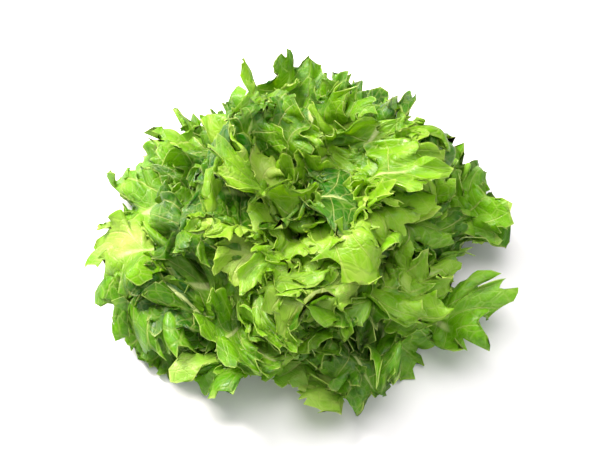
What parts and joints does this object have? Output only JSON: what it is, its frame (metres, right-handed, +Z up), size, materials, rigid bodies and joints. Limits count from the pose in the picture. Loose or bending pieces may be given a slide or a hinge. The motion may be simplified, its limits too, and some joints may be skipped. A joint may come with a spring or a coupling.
{
  "type": "head of lettuce",
  "caption": "Open head of loose-leaf lettuce: ruffled, toothed leaves in a spiral round a short core, standing on its cut stem.",
  "frame": {"origin": "middle of the flat cut face under the core, on the surface that the head stands on", "axes": "+Z up along the core, from the cut face to the heart; -Y is the side that the head is seen from, +X is to the right in that view"},
  "size_m": [0.2782, 0.257, 0.127],
  "materials": {
    "core": "moist pale cut flesh",
    "outer_leaf": "waxy leaf, deep green",
    "middle_leaf": "waxy leaf, fresh green",
    "heart_leaf": "waxy leaf, yellow-green"
  },
  "bodies": {
    "root": {"core": "core", "outer_leaf_01": "outer_leaf", "outer_leaf_02": "outer_leaf", "outer_leaf_03": "outer_leaf", "outer_leaf_04": "outer_leaf", "outer_leaf_05": "outer_leaf", "outer_leaf_06": "outer_leaf", "outer_leaf_07": "outer_leaf", "outer_leaf_08": "outer_leaf", "outer_leaf_09": "outer_leaf", "outer_leaf_10": "outer_leaf", "outer_leaf_11": "outer_leaf", "outer_leaf_12": "outer_leaf", "outer_leaf_13": "outer_leaf", "outer_leaf_14": "outer_leaf", "outer_leaf_15": "outer_leaf", "outer_leaf_16": "outer_leaf", "outer_leaf_17": "outer_leaf", "outer_leaf_18": "outer_leaf", "middle_leaf_01": "middle_leaf", "middle_leaf_02": "middle_leaf", "middle_leaf_03": "middle_leaf", "middle_leaf_04": "middle_leaf", "middle_leaf_05": "middle_leaf", "middle_leaf_06": "middle_leaf", "middle_leaf_07": "middle_leaf", "middle_leaf_08": "middle_leaf", "middle_leaf_09": "middle_leaf", "middle_leaf_10": "middle_leaf", "middle_leaf_11": "middle_leaf", "middle_leaf_12": "middle_leaf", "middle_leaf_13": "middle_leaf", "middle_leaf_14": "middle_leaf", "middle_leaf_15": "middle_leaf", "middle_leaf_16": "middle_leaf", "middle_leaf_17": "middle_leaf", "middle_leaf_18": "middle_leaf", "middle_leaf_19": "middle_leaf", "middle_leaf_20": "middle_leaf", "heart_leaf_01": "heart_leaf", "heart_leaf_02": "heart_leaf", "heart_leaf_03": "heart_leaf", "heart_leaf_04": "heart_leaf", "heart_leaf_05": "heart_leaf", "heart_leaf_06": "heart_leaf", "heart_leaf_07": "heart_leaf", "heart_leaf_08": "heart_leaf", "heart_leaf_09": "heart_leaf", "heart_leaf_10": "heart_leaf", "heart_leaf_11": "heart_leaf", "heart_leaf_12": "heart_leaf", "heart_leaf_13": "heart_leaf", "heart_leaf_14": "heart_leaf", "heart_leaf_15": "heart_leaf", "heart_leaf_16": "heart_leaf"}
  },
  "joints": []
}
